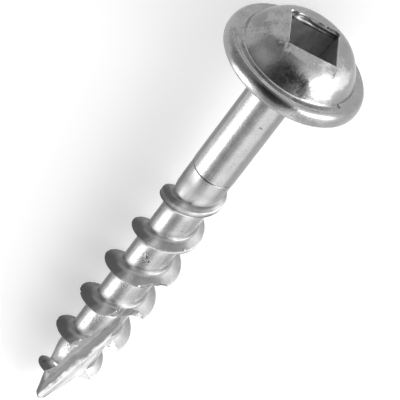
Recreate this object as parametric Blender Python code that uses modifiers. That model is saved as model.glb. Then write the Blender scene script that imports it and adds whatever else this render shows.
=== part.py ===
"""Pocket hole screw: round washer head with a square recess, plain shank, coarse thread and a fluted point.

The screw is modelled upright, its axis on Z, its bearing face (the underside of the flange) at zero
and its point below. It is then laid down as it comes to rest on a table: on the rim of its flange and
on the crests of its thread.
"""
import math

import bmesh
import bpy
from mathutils import Matrix, Vector

MM = 0.001

# Driving dimensions, in metres.
LENGTH = 32.0 * MM              # bearing face to point

FLANGE_R = 4.67 * MM            # flange, the round washer that is forged on
FLANGE_T = 1.10 * MM
RIM_LOW_R = 0.36 * MM           # rounding of the rim towards the bearing face
RIM_TOP_R = 0.15 * MM           # rounding of the rim towards the ledge

DOME_R = 3.78 * MM              # dome above the flange, at its foot
DOME_H = 1.755 * MM             # foot to the flat top
DOME_LEAN = 17.6                # degrees that the dome's side leans in at its foot
DOME_BLEND = 0.30 * MM          # height over which the side rounds into the flat top
FOOT_FILLET = 0.10 * MM

RECESS_SIDE = 3.16 * MM         # square recess, across the flats at its mouth
RECESS_FLOOR_SIDE = 2.80 * MM   # across the flats where the walls end
RECESS_DEPTH = 2.10 * MM        # straight part of the walls, below the flat top
RECESS_CONE = 0.45 * MM         # depth of the blunt bottom below that
RECESS_TURN = 18.6              # degrees about the screw's axis

SHANK_R = 1.462 * MM            # plain shank
SHANK_STEP = 0.025 * MM         # fine step near the shank's lower end
SHANK_STEP_Z = -8.92 * MM
SHANK_LOW_R = 1.420 * MM        # the shank draws in a little below the step
SHANK_END_Z = -11.10 * MM
SHANK_TAPER = 0.70 * MM         # height of the cone from the shank down to the thread's root

PITCH = 3.326 * MM              # single start, right hand
ROOT_R = 1.335 * MM
CREST_R = 2.285 * MM
CREST_FLAT = 0.08 * MM
FLANK_FOOT = 0.84 * MM          # width of the ridge at the foot of its flanks
ROOT_FILLET = 0.24 * MM
CREST_Z = 1.716 * MM            # height of the crest's helix where it crosses +X

# The crest's radius along the screw, as (height over the bearing face, radius).
CREST_AT = (
    (-30.6 * MM, 0.40 * MM),
    (-29.9 * MM, 1.15 * MM),
    (-29.1 * MM, 1.62 * MM),
    (-27.4 * MM, 1.98 * MM),
    (-25.7 * MM, 2.25 * MM),
    (-23.0 * MM, CREST_R),
    (-17.4 * MM, CREST_R),
    (-15.7 * MM, 2.16 * MM),
    (-14.1 * MM, 2.04 * MM),
    (-12.4 * MM, 1.92 * MM),
    (-10.7 * MM, 1.78 * MM),
    (-9.2 * MM, 1.30 * MM),
)
BLUNT_FROM_Z = -15.5 * MM       # above this height the crest grows blunt
BLUNT_FULL_Z = -12.8 * MM
BLUNT_EXTRA = 0.07 * MM         # what it then adds to each side of the crest

POINT_R = 0.33 * MM             # blunt end of the point
POINT_CORE_H = 4.9 * MM         # height of the core's cone
POINT_ROUND = 0.35 * MM
POINT_OFF = 0.15 * MM           # the pinched point stands this far off the axis
POINT_LAG = 0.24 * MM           # how far the last turn is drawn out towards the point
THREAD_TOP_Z = -9.3 * MM        # the sunken end of the ridge, inside the shank

FLUTE_FOOT = Vector((0.19, -0.45, -32.0)) * MM      # the flute's valley line, at the point
FLUTE_HEAD = Vector((0.573, 1.231, -21.5)) * MM     # and where it leaves the core
FLUTE_FACE = 77.0               # degrees about the axis along which the cut's flat face runs outwards
FLUTE_WALL = -37.0              # degrees along which its wall runs outwards
FLUTE_ROUND = 1.10 * MM         # rounding between the face and the wall
FLUTE_REACH = 3.4 * MM

# How it lies: the side that faces up, in degrees about the axis, and the slope up to the head, which
# its wide flange lifts. The head lies towards -X and the point towards +X.
REST_UP = 2.8125
REST_LEAN = 5.410

HEAD_STEPS = 64
THREAD_STEPS = 44

NAME = "pocket_hole_screw"


def clear_scene():
    for obj in list(bpy.data.objects):
        bpy.data.objects.remove(obj, do_unlink=True)


def new_collection(name):
    col = bpy.data.collections.new(name)
    bpy.context.scene.collection.children.link(col)
    return col


def mesh_object(name, verts, edges, faces, col):
    mesh = bpy.data.meshes.new(name)
    mesh.from_pydata(verts, edges, faces)
    obj = bpy.data.objects.new(name, mesh)
    col.objects.link(obj)
    return obj


def applied(obj):
    """The object's mesh with its modifiers in it."""
    deps = bpy.context.evaluated_depsgraph_get()
    mesh = bpy.data.meshes.new_from_object(obj.evaluated_get(deps))
    obj.modifiers.clear()
    obj.data = mesh
    return obj


def smooth(a, b, x):
    t = min(max((x - a) / (b - a), 0.0), 1.0)
    return t * t * (3.0 - 2.0 * t)


def arc(cx, cz, rx, rz, start, end, steps):
    """Points on an ellipse's arc, angles in degrees from +X towards +Z."""
    out = []
    for i in range(steps + 1):
        a = math.radians(start + (end - start) * i / steps)
        out.append((cx + rx * math.cos(a), cz + rz * math.sin(a)))
    return out


def dome_height(r):
    """Height of the dome's surface over the bearing face, at radius r."""
    lean = math.radians(DOME_LEAN)
    ball = DOME_R / math.cos(lean)
    centre = -ball * math.sin(lean)
    side = centre + math.sqrt(max(ball * ball - r * r, 0.0))
    h = min(max(0.5 + 0.5 * (side - DOME_H) / DOME_BLEND, 0.0), 1.0)
    return FLANGE_T + side * (1.0 - h) + DOME_H * h - DOME_BLEND * h * (1.0 - h)


def blank_profile():
    """Half section of the forged blank, from the top of the head down to inside the threaded part."""
    pts = [(0.0, dome_height(0.0)), (2.0 * MM, dome_height(2.0 * MM))]
    foot = DOME_R - 0.03 * MM
    steps = 9
    for i in range(1, steps + 1):
        # closer together where the side is steep
        t = math.sin(0.5 * math.pi * i / steps)
        r = 2.0 * MM + (foot - 2.0 * MM) * t
        pts.append((r, dome_height(r)))
    r, z = pts[-1]
    pts[-1] = (r, max(z, FLANGE_T + FOOT_FILLET))
    pts += arc(r + FOOT_FILLET, FLANGE_T + FOOT_FILLET, FOOT_FILLET, FOOT_FILLET, 180, 270, 2)[1:]
    pts += arc(FLANGE_R - RIM_TOP_R, FLANGE_T - RIM_TOP_R, RIM_TOP_R, RIM_TOP_R, 90, 0, 3)
    pts += arc(FLANGE_R - RIM_LOW_R, RIM_LOW_R, RIM_LOW_R, RIM_LOW_R, 0, -90, 4)
    pts += [
        (SHANK_R + 0.10 * MM, 0.0),
        (SHANK_R + 0.02 * MM, -0.03 * MM),
        (SHANK_R, -0.12 * MM),
        (SHANK_R, SHANK_STEP_Z),
        (SHANK_R - SHANK_STEP, SHANK_STEP_Z - 0.04 * MM),
        (SHANK_LOW_R, SHANK_END_Z),
        (ROOT_R - 0.04 * MM, SHANK_END_Z - SHANK_TAPER * 1.3),
        (0.0, SHANK_END_Z - SHANK_TAPER * 1.3),
    ]
    return pts


def turned(name, pts, steps, col):
    """A closed turned solid from a half section that starts and ends on the axis."""
    verts = [(x, 0.0, z) for x, z in pts]
    edges = [(i, i + 1) for i in range(len(pts) - 1)]
    obj = mesh_object(name, verts, edges, [], col)
    mod = obj.modifiers.new("turn", "SCREW")
    mod.axis = "Z"
    mod.steps = steps
    mod.render_steps = steps
    mod.use_merge_vertices = True
    mod.merge_threshold = 0.000001
    return applied(obj)


def ridge_profile():
    """One pitch of the thread's section, from its top to its bottom: root, fillet, flank, crest."""
    half = 0.5 * FLANK_FOOT
    rise = ROOT_FILLET * 0.5
    side = [
        (ROOT_R, 0.5 * PITCH),
        (ROOT_R, half + ROOT_FILLET),
        (ROOT_R + rise * 0.30, half + ROOT_FILLET * 0.36),
        (ROOT_R + rise * 1.3, half * 0.92),
        (ROOT_R + 0.48 * (CREST_R - ROOT_R), half * 0.46),
        (CREST_R - 0.03 * MM, CREST_FLAT * 0.5 + 0.015 * MM),
        (CREST_R, CREST_FLAT * 0.35),
    ]
    low = [(r, -z) for r, z in reversed(side)]
    return side + low


def core_radius(z):
    """Radius of the thread's root at a height."""
    up = z + LENGTH
    r = POINT_R + (ROOT_R - POINT_R) * min(max(up / POINT_CORE_H, 0.0), 1.0)
    return r - 0.45 * POINT_R * (1.0 - smooth(-0.2 * POINT_ROUND, POINT_ROUND, up))


def crest_radius(z):
    """Radius of the thread's crest at a height, never under the root's."""
    for (z0, r0), (z1, r1) in zip(CREST_AT, CREST_AT[1:]):
        if z0 <= z <= z1:
            return max(r0 + (r1 - r0) * (z - z0) / (z1 - z0), core_radius(z) - 0.01 * MM)
    return core_radius(z)


def shape_thread(v):
    """Draw one point of the even helix in to the screw's own radii, and thicken the ridge at its run-out."""
    r = math.hypot(v.x, v.y)
    if r < 0.5 * ROOT_R:
        return
    share = (r - ROOT_R) / (CREST_R - ROOT_R)
    turn = math.atan2(v.y, v.x) / math.tau
    off = (v.z - CREST_Z - PITCH * turn + 0.5 * PITCH) % PITCH - 0.5 * PITCH
    core = core_radius(v.z)
    k = (core + share * (crest_radius(v.z) - core)) / r
    v.x *= k
    v.y *= k
    up = v.z + LENGTH
    held = min(max(share * 2.0, 0.0), 1.0)
    v.z += math.copysign(BLUNT_EXTRA * smooth(BLUNT_FROM_Z, BLUNT_FULL_Z, v.z) * held, off)
    v.z -= POINT_LAG * smooth(0.8 * MM, 2.2 * MM, up) * (1.0 - smooth(3.0 * MM, 6.0 * MM, up))
    v.y -= POINT_OFF * (1.0 - smooth(0.0, 5.0 * MM, up))


def cut_flat(bm, z, outward):
    """Cut a tube square at a height, drop what lies on the outward side and close it."""
    geom = bm.verts[:] + bm.edges[:] + bm.faces[:]
    res = bmesh.ops.bisect_plane(
        bm, geom=geom, dist=1e-8, plane_co=(0, 0, z), plane_no=(0, 0, outward), clear_outer=True
    )
    rim = [e for e in res["geom_cut"] if isinstance(e, bmesh.types.BMEdge)]
    bmesh.ops.contextual_create(bm, geom=rim)


def threaded_body(col):
    """The thread: one pitch of its section swept along the helix, then drawn in at the point and the run-out."""
    turns = math.ceil(LENGTH / PITCH) + 1
    start = CREST_Z - (turns + 1) * PITCH
    prof = ridge_profile()
    verts = [(r, 0.0, start + z) for r, z in prof]
    edges = [(i, i + 1) for i in range(len(prof) - 1)]
    obj = mesh_object("thread", verts, edges, [], col)
    mod = obj.modifiers.new("helix", "SCREW")
    mod.axis = "Z"
    mod.screw_offset = PITCH
    mod.iterations = turns - 1
    mod.steps = THREAD_STEPS
    mod.render_steps = THREAD_STEPS
    mod.use_merge_vertices = True
    mod.merge_threshold = 0.000002
    applied(obj)
    bm = bmesh.new()
    bm.from_mesh(obj.data)
    bmesh.ops.remove_doubles(bm, verts=bm.verts, dist=0.000002)
    cut_flat(bm, -LENGTH, -1)
    cut_flat(bm, THREAD_TOP_Z, 1)
    for v in bm.verts:
        shape_thread(v.co)
    bmesh.ops.recalc_face_normals(bm, faces=bm.faces)
    bm.to_mesh(obj.data)
    bm.free()
    return obj


def recess_cutter(col):
    """Square recess: drafted walls that start above the dome, and a blunt four-sided bottom."""
    top = FLANGE_T + DOME_H
    draft = 0.5 * (RECESS_SIDE - RECESS_FLOOR_SIDE) / RECESS_DEPTH
    over = 1.0 * MM
    bm = bmesh.new()
    bmesh.ops.create_cube(bm, size=1.0)
    for v in bm.verts:
        high = v.co.z > 0
        half = 0.5 * RECESS_SIDE + draft * over if high else 0.5 * RECESS_FLOOR_SIDE
        v.co = Vector((
            math.copysign(half, v.co.x),
            math.copysign(half, v.co.y),
            top + over if high else top - RECESS_DEPTH,
        ))
    low = [f for f in bm.faces if f.normal.z < -0.5]
    bmesh.ops.inset_region(bm, faces=low, thickness=1.05 * MM, use_even_offset=True)
    for v in low[0].verts:
        v.co.z -= RECESS_CONE
    bmesh.ops.rotate(bm, verts=bm.verts, matrix=Matrix.Rotation(math.radians(RECESS_TURN), 3, "Z"))
    bmesh.ops.recalc_face_normals(bm, faces=bm.faces)
    mesh = bpy.data.meshes.new("recess_cutter")
    bm.to_mesh(mesh)
    bm.free()
    obj = bpy.data.objects.new("recess_cutter", mesh)
    col.objects.link(obj)
    return obj


def flute_section():
    """Outline of the flute across the axis: flat face, rounded valley, wall and an outer arc."""
    face = math.radians(FLUTE_FACE)
    wall = math.radians(FLUTE_WALL)
    opening = face - wall
    set_back = FLUTE_ROUND / math.tan(0.5 * opening)
    pts = [(FLUTE_REACH * math.cos(face), FLUTE_REACH * math.sin(face))]
    mid = 0.5 * (face + wall)
    centre = FLUTE_ROUND / math.sin(0.5 * opening)
    cx, cy = centre * math.cos(mid), centre * math.sin(mid)
    a0 = face + 0.5 * math.pi
    a1 = wall + 1.5 * math.pi
    steps = 8
    for i in range(steps + 1):
        a = a0 + (a1 - a0) * i / steps
        pts.append((cx + FLUTE_ROUND * math.cos(a), cy + FLUTE_ROUND * math.sin(a)))
    pts.append((FLUTE_REACH * math.cos(wall), FLUTE_REACH * math.sin(wall)))
    for i in range(1, 4):
        a = wall + opening * i / 4
        pts.append((FLUTE_REACH * 1.15 * math.cos(a), FLUTE_REACH * 1.15 * math.sin(a)))
    return pts


def flute_cutter(col):
    """The auger's flute: its section extruded along the slanting valley line."""
    run = FLUTE_HEAD - FLUTE_FOOT
    low = FLUTE_FOOT - 0.15 * run
    reach = run * 1.75
    bm = bmesh.new()
    ring = [bm.verts.new(low + Vector((x, y, 0.0))) for x, y in flute_section()]
    base = bm.faces.new(ring)
    res = bmesh.ops.extrude_face_region(bm, geom=[base])
    moved = [g for g in res["geom"] if isinstance(g, bmesh.types.BMVert)]
    bmesh.ops.translate(bm, verts=moved, vec=reach)
    bmesh.ops.recalc_face_normals(bm, faces=bm.faces)
    mesh = bpy.data.meshes.new("flute_cutter")
    bm.to_mesh(mesh)
    bm.free()
    obj = bpy.data.objects.new("flute_cutter", mesh)
    col.objects.link(obj)
    return obj


def boolean(obj, other, operation):
    mod = obj.modifiers.new(other.name, "BOOLEAN")
    mod.operation = operation
    mod.object = other
    other.hide_render = True
    other.display_type = "WIRE"


def metal():
    mat = bpy.data.materials.new("zinc_plated_steel")
    mat.use_nodes = True
    bsdf = mat.node_tree.nodes["Principled BSDF"]
    bsdf.inputs["Base Color"].default_value = (0.62, 0.62, 0.61, 1.0)
    bsdf.inputs["Metallic"].default_value = 1.0
    bsdf.inputs["Roughness"].default_value = 0.26
    return mat


def lay_down(obj):
    """Turn the screw from upright to how it lies, on the ground, its box's middle over the origin."""
    roll = Matrix.Rotation(math.radians(-REST_UP), 4, "Z")
    lean = Matrix.Rotation(math.radians(REST_LEAN - 90.0), 4, "Y")
    turn = lean @ roll
    pts = [turn @ v.co for v in obj.data.vertices]
    xs = [p.x for p in pts]
    ys = [p.y for p in pts]
    zs = [p.z for p in pts]
    obj.rotation_euler = turn.to_euler()
    obj.location = (-0.5 * (min(xs) + max(xs)), -0.5 * (min(ys) + max(ys)), -min(zs))


def build():
    clear_scene()
    parts = new_collection("pocket_hole_screw")
    cutters = new_collection("cutters")
    body = turned(NAME, blank_profile(), HEAD_STEPS, parts)
    thread = threaded_body(cutters)
    recess = recess_cutter(cutters)
    flute = flute_cutter(cutters)
    boolean(body, thread, "UNION")
    boolean(body, recess, "DIFFERENCE")
    boolean(body, flute, "DIFFERENCE")
    bpy.context.view_layer.update()
    applied(body)
    body.data.materials.clear()
    body.data.materials.append(metal())
    body.data.shade_smooth()
    body.data.set_sharp_from_angle(angle=math.radians(35.0))
    lay_down(body)


build()
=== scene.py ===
# %% [markdown]
# # A pocket hole screw, dressed
#
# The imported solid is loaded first. It is the frame that everything here keeps to: the screw lies on the
# ground, head towards -X and point towards +X, and every length is in metres.

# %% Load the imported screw
import math

import bpy
from mathutils import Matrix, Vector, noise


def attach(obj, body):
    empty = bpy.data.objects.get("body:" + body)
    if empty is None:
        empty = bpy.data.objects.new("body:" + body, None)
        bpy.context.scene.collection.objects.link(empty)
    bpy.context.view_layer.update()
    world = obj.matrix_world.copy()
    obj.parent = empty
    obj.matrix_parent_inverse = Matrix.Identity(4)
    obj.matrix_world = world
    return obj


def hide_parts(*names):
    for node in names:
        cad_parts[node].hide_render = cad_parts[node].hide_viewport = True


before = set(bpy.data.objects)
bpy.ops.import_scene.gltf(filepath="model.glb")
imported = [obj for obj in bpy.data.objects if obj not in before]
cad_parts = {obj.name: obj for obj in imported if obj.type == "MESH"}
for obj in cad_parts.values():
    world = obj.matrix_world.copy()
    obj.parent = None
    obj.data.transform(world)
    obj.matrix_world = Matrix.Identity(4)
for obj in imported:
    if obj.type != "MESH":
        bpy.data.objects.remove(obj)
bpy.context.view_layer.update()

MM = 0.001

# %% [markdown]
# ## How it lies
#
# A screw is easiest to model upright, its axis on Z, the underside of its flange at zero and its point
# below. It is laid down at the very end, by the same turn and the same place that the solid has. The turn
# is kept as one matrix, because the camera and the materials need it too.

# %% The turn from upright to lying
REST_UP = 2.8125            # degrees about the axis, the side that faces up
REST_LEAN = 5.410           # degrees, the slope up to the head
REST_AT = (-14.4081 * MM, 0.0, 4.6097 * MM)     # the middle of the bearing face, as it lies
LYING = (
    Matrix.Translation(REST_AT)
    @ Matrix.Rotation(math.radians(REST_LEAN - 90.0), 4, "Y")
    @ Matrix.Rotation(math.radians(-REST_UP), 4, "Z")
)
print("the axis points, as it lies:", [round(c, 4) for c in LYING.to_3x3() @ Vector((0, 0, 1))])

# %% [markdown]
# ## The camera
#
# A long lens looks down on the lying screw. Its place is written from the screw's own middle: so far
# above the plane square to the axis, so far rolled, and so far away.

# %% Set up the camera
LENGTH = 32.0 * MM
VIEW_TILT = math.radians(36.169)
VIEW_ROLL = math.radians(37.409)
VIEW_AWAY = 168.34 * MM
VIEW_ASIDE = (-2.585 * MM, -2.677 * MM)
SENSOR, LENS = 36.0, 243.81         # both in millimetres

back = Vector((math.cos(VIEW_TILT), 0.0, math.sin(VIEW_TILT)))
level = Vector((0.0, 0.0, 1.0)).cross(back).normalized()
rise = back.cross(level)
right = math.cos(VIEW_ROLL) * level + math.sin(VIEW_ROLL) * rise
up = math.cos(VIEW_ROLL) * rise - math.sin(VIEW_ROLL) * level
eye = Vector((0, 0, -0.5 * LENGTH)) + back * VIEW_AWAY - right * VIEW_ASIDE[0] - up * VIEW_ASIDE[1]
seat = Matrix((right, up, back)).transposed().to_4x4()
seat.translation = eye

camera_data = bpy.data.cameras.new("camera")
camera_data.sensor_width = SENSOR
camera_data.lens = LENS
camera_data.clip_start = 0.01
camera = bpy.data.objects.new("camera", camera_data)
bpy.context.scene.collection.objects.link(camera)
camera.matrix_world = LYING @ seat
bpy.context.scene.camera = camera
toward_eye = (LYING.to_3x3() @ back).normalized()
elevation = round(math.degrees(math.asin(toward_eye.z)), 1)
print("camera looks from", [round(c, 3) for c in toward_eye], "elevation", elevation)

# %% [markdown]
# ## The forged blank
#
# On the real screw a press swages the end of a wire into the head: a washer flange, and on it a dome
# with a flat top. The blank is round all over, so one half section turned about the axis makes it all.
# The half section is drawn as by hand: a plane is merged to one corner, the corner is pulled on from
# point to point, and the line is spun. The press leaves a shallow groove where the flat ledge meets the
# flange's rim, and the rim is a rounded bead, so both are in the section.

# %% Helpers for drawing a line and turning it
def deselect():
    bpy.ops.object.select_all(action="DESELECT")


def take(piece):
    """Make one piece the selected and active one."""
    deselect()
    piece.select_set(True)
    bpy.context.view_layer.objects.active = piece


def edit_all():
    """Open the active piece in Edit Mode with everything selected."""
    bpy.ops.object.mode_set(mode="EDIT")
    bpy.ops.mesh.select_all(action="SELECT")


def edit_done():
    """Back to Object Mode."""
    bpy.ops.object.mode_set(mode="OBJECT")


def draw_line(name, points):
    """A line through the points: one corner, pulled on from point to point."""
    deselect()
    bpy.ops.mesh.primitive_plane_add(size=MM)
    line = bpy.context.object
    line.name = line.data.name = name
    bpy.ops.object.mode_set(mode="EDIT")
    bpy.ops.mesh.select_mode(type="VERT")
    bpy.ops.mesh.merge(type="CENTER")
    bpy.ops.transform.translate(value=points[0])
    for here, there in zip(points, points[1:]):
        bpy.ops.mesh.extrude_vertices_move(TRANSFORM_OT_translate={"value": there - here})
    edit_done()
    return line


def even_normals(piece, gap=0.2e-6):
    """Merge doubles and turn every face outwards."""
    take(piece)
    edit_all()
    bpy.ops.mesh.remove_doubles(threshold=gap)
    bpy.ops.mesh.normals_make_consistent(inside=False)
    edit_done()


def close_ends():
    """In Edit Mode, put a face on each open end."""
    bpy.ops.mesh.select_mode(type="EDGE")
    bpy.ops.mesh.select_all(action="DESELECT")
    bpy.ops.mesh.select_non_manifold(extend=False)
    bpy.ops.mesh.edge_face_add()


def arc(cx, cz, r, start, end, steps, tall=1.0):
    """Points on an arc in the half section, angles in degrees from +X towards +Z."""
    angles = [math.radians(start + (end - start) * i / steps) for i in range(steps + 1)]
    return [(cx + r * math.cos(a), cz + r * tall * math.sin(a)) for a in angles]


def smooth(a, b, x):
    """A soft step from 0 at a to 1 at b."""
    t = min(max((x - a) / (b - a), 0.0), 1.0)
    return t * t * (3.0 - 2.0 * t)


# %% The blank's half section
FLANGE_R = 4.664 * MM       # the solid's flange has 64 sides, and the round one touches them from inside
FLANGE_T = 1.10 * MM
RIM_LOW_R = 0.36 * MM
BEAD_R = 0.35 * MM          # the rim's upper rounding is an upright oval: so wide
BEAD_TALL = 0.60 * MM       # and so tall
BEAD_GROOVE = 0.02 * MM     # how deep the ledge dips before the bead
DOME_R = 3.78 * MM
DOME_H = 1.753 * MM
DOME_LEAN = math.radians(17.6)
DOME_BLEND = 0.30 * MM
DOME_FOOT = DOME_R - 0.03 * MM
FOOT_FILLET = 0.10 * MM
UNDER_FILLET = 0.12 * MM    # where the shank meets the flange's underside
SHANK_R = 1.462 * MM
SHANK_STEP = 0.020 * MM
STEP_GROOVE = 0.045 * MM    # the fine line where the dies stopped
SHANK_STEP_Z = -8.92 * MM
SHANK_LOW_R = 1.420 * MM
SHANK_END_Z = -11.10 * MM
SHANK_TAPER = 0.70 * MM
BLANK_END_Z = SHANK_END_Z - SHANK_TAPER * 1.3       # hidden in the thread's core
ROOT_R = 1.335 * MM
FOLD_RINGS = 20             # close rings on the flat top, where the folds lie
FOLD_RING_GAP = 0.06 * MM
EDGE_FROM_R = 2.7 * MM      # and from here rings that draw together towards the dome's foot
EDGE_RINGS = 24


def dome_height(r):
    """Height of the dome over the bearing face: a ball's side that rounds into a flat top."""
    ball = DOME_R / math.cos(DOME_LEAN)
    side = math.sqrt(max(ball * ball - r * r, 0.0)) - ball * math.sin(DOME_LEAN)
    h = min(max(0.5 + 0.5 * (side - DOME_H) / DOME_BLEND, 0.0), 1.0)
    return FLANGE_T + side * (1.0 - h) + DOME_H * h - DOME_BLEND * h * (1.0 - h)


def blank_section():
    """From the middle of the top out over the dome and the rim, then under the flange and down."""
    radii = [r * MM for r in (0.0, 0.5, 1.0, 1.3)]
    radii += [1.5 * MM + FOLD_RING_GAP * i for i in range(FOLD_RINGS)]
    for i in range(EDGE_RINGS):
        radii.append(EDGE_FROM_R + (DOME_FOOT - EDGE_FROM_R) * math.sin(0.5 * math.pi * i / EDGE_RINGS))
    pts = [(r, dome_height(r)) for r in radii]
    z = FLANGE_T + FOOT_FILLET
    pts.append((DOME_FOOT, max(dome_height(DOME_FOOT), z)))
    pts += arc(DOME_FOOT + FOOT_FILLET, z, FOOT_FILLET, 180, 270, 5)[1:]
    bead = FLANGE_R - BEAD_R
    pts += [(r * MM, FLANGE_T) for r in (3.96, 4.06, 4.15)]
    pts += [(bead - 0.09 * MM, FLANGE_T - 0.3 * BEAD_GROOVE), (bead - 0.04 * MM, FLANGE_T - BEAD_GROOVE)]
    pts += arc(bead, FLANGE_T - BEAD_TALL - 0.4 * BEAD_GROOVE, BEAD_R, 92, 0, 20, BEAD_TALL / BEAD_R)
    pts += arc(FLANGE_R - RIM_LOW_R, RIM_LOW_R, RIM_LOW_R, 0, -90, 9)
    pts += [(r * MM, 0.0) for r in (3.6, 2.8, 2.1)]
    pts += arc(SHANK_R + UNDER_FILLET, -UNDER_FILLET, UNDER_FILLET, 90, 180, 4)
    pts += [(SHANK_R, z * MM) for z in (-0.5, -2.0, -4.0, -6.0, -8.0, -8.7)]
    pts += [
        (SHANK_R, SHANK_STEP_Z + 0.02 * MM),
        (SHANK_R - STEP_GROOVE, SHANK_STEP_Z - 0.02 * MM),
        (SHANK_R - STEP_GROOVE, SHANK_STEP_Z - 0.04 * MM),
        (SHANK_R - SHANK_STEP, SHANK_STEP_Z - 0.08 * MM),
        (0.5 * (SHANK_R - SHANK_STEP + SHANK_LOW_R), 0.5 * (SHANK_STEP_Z + SHANK_END_Z)),
        (SHANK_LOW_R, SHANK_END_Z),
        (ROOT_R - 0.04 * MM, BLANK_END_Z),
        (0.0, BLANK_END_Z),
    ]
    return pts


section = blank_section()
print("points in the half section:", len(section))

# %% Turn the blank
TURN_STEPS = 256

screw = draw_line("fine_screw", [Vector((r, 0.0, z)) for r, z in section])
edit_all()
bpy.ops.mesh.spin(steps=TURN_STEPS, angle=math.tau, center=(0, 0, 0), axis=(0, 0, 1))
edit_done()
even_normals(screw)
print("blank:", len(screw.data.polygons), "faces")

# %% [markdown]
# ## Creases round the punch
#
# Where the punch's corners pushed the metal aside, fine folds run out over the dome, and the metal
# stands a little proud along the recess's edge. A fold is a step of a tenth of a millimetre or less, so
# points near each line are moved up on one side of it and down on the other. This is worked out in code,
# because a fold that fades out along its length has no operator of its own.

# %% Fold the skin beside the recess's corners
RECESS_SIDE = 3.16 * MM
RECESS_TURN = math.radians(18.6)
FOLD_WIDE = 0.10
FOLD_WAVER = 0.05
FOLDS = [                   # from, to, seen from above, and the step's height, all in mm
    ((1.98, -0.96), (2.50, -1.50), 0.100),
    ((2.02, -0.90), (3.25, -0.86), 0.090),
    ((1.14, 1.96), (2.50, 2.62), 0.090),
    ((-0.90, -2.02), (-1.05, -2.70), 0.030),
    ((-2.08, 0.84), (-2.75, 0.98), 0.030),
]
PROUD = 0.016 * MM
PROUD_WIDE = 0.20 * MM
PROUD_LUMP = 0.22 * MM


def fold_height(x, y):
    """The folds' height at a place given in mm."""
    h = 0.0
    for (x0, y0), (x1, y1), step in FOLDS:
        run = math.hypot(x1 - x0, y1 - y0)
        ux, uy = (x1 - x0) / run, (y1 - y0) / run
        along = (x - x0) * ux + (y - y0) * uy
        across = (y - y0) * ux - (x - x0) * uy + FOLD_WAVER * noise.noise(Vector((along * 2.4, x0, y0)))
        fade = smooth(-0.1, 0.1, along) * (1.0 - smooth(0.35 * run, run, along))
        h += step * fade * across / FOLD_WIDE * math.exp(0.5 - (across / FOLD_WIDE) ** 2)
    return h * MM


def square_distance(x, y):
    """How far outside the recess's square a place lies."""
    c, s = math.cos(-RECESS_TURN), math.sin(-RECESS_TURN)
    return max(abs(c * x - s * y), abs(s * x + c * y)) - 0.5 * RECESS_SIDE


for v in screw.data.vertices:
    if v.co.z > FLANGE_T + 0.5 * MM:
        beside = square_distance(v.co.x, v.co.y)
        proud = 1.0 - smooth(0.0, PROUD_WIDE, beside)
        lumpy = 0.5 + noise.noise(v.co / PROUD_LUMP)
        v.co.z += fold_height(v.co.x / MM, v.co.y / MM) + PROUD * (proud * lumpy - 1.0)
print("folds round the recess:", len(FOLDS))

# %% [markdown]
# ## The square recess
#
# The recess is cut out by a Boolean. The cutter carries a finish of its own, and the cut faces take it
# over, so the walls end up with the look that the punch gives them. The recess is cut before the thread is
# joined on, and the flute likewise, because a Boolean is surest on a shape that is still simple.

# %% Name the finishes, and a helper for joining and cutting
plate = bpy.data.materials.new("zinc_plate")
punched = bpy.data.materials.new("punched_wall")
pinched = bpy.data.materials.new("pinched_flute")


def combine(piece, tool, operation):
    """Join a tool to a piece, or cut it out, and throw the tool away."""
    mod = piece.modifiers.new(operation.lower(), "BOOLEAN")
    mod.operation = operation
    mod.solver = "EXACT"
    mod.material_mode = "TRANSFER"
    mod.object = tool
    take(piece)
    bpy.ops.object.modifier_apply(modifier=mod.name)
    bpy.data.objects.remove(tool, do_unlink=True)
    print(operation.lower(), "->", len(piece.data.polygons), "faces")


# %% [markdown]
# The punch is a disc that is squared off, then pulled up ring by ring: the blunt end, the drafted sides,
# and a small flare that rounds the mouth. On one side, where it dragged on its way out, the lip is torn
# away unevenly: in one long slope at its left, and in two short steps at its right.

# %% The square recess
RECESS_FLOOR_SIDE = 2.80 * MM
RECESS_DEPTH = 2.10 * MM
RECESS_CONE = 0.45 * MM
RECESS_TIP = 0.35 * MM      # half the width of the blunt end
WALL_RINGS = (1.2, 0.7, 0.48, 0.44, 0.40, 0.36, 0.32, 0.26, 0.20, 0.16, 0.12, 0.08)     # mm down
MOUTH_R = 0.09 * MM
SIDE_STEPS = 40
TORN_WIDE = 0.17 * MM       # how far the torn lip goes outwards
TORN_STEPS = (0.42 * MM, 0.16 * MM)     # how far down its two steps lie
TORN_SHARES = (0.18, 0.82)  # how much of it each takes at the right; at the left the lower one takes all
TORN_RISE = 0.07 * MM       # how high one step is
TORN_SLOPE = 0.17 * MM      # and how much higher the slope at the left


def squared(i, half):
    """Point number i of so many on a square, from one corner round."""
    side, step = divmod(i, SIDE_STEPS)
    u = 2.0 * half * step / SIDE_STEPS - half
    c, s = ((1, 0), (0, 1), (-1, 0), (0, -1))[side]
    return Vector((c * half - s * u, s * half + c * u, 0.0))


def torn_lip(across, z, top):
    """How far the torn lip goes out, by more and by less along the side."""
    u = across / MM
    rough = 0.70 + 0.5 * noise.noise(Vector((u * 2.1, 5.0, 0.0)))
    rough += 0.30 * noise.noise(Vector((u * 7.0, 0.0, 1.0)))
    ends = smooth(0.0, 0.25, 0.5 * RECESS_SIDE / MM - abs(u))
    wavy = z + 0.08 * MM * noise.noise(Vector((u * 1.3, 9.0, 0.0)))
    left = smooth(0.2, -0.6, u)
    low, high = (top - deep for deep in TORN_STEPS)
    lower, upper = TORN_SHARES
    steps = (lower + upper * left) * smooth(low, low + TORN_RISE + TORN_SLOPE * left, wavy)
    steps += upper * (1.0 - left) * smooth(high, high + TORN_RISE, wavy)
    return TORN_WIDE * max(rough, 0.0) * ends * steps


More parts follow.
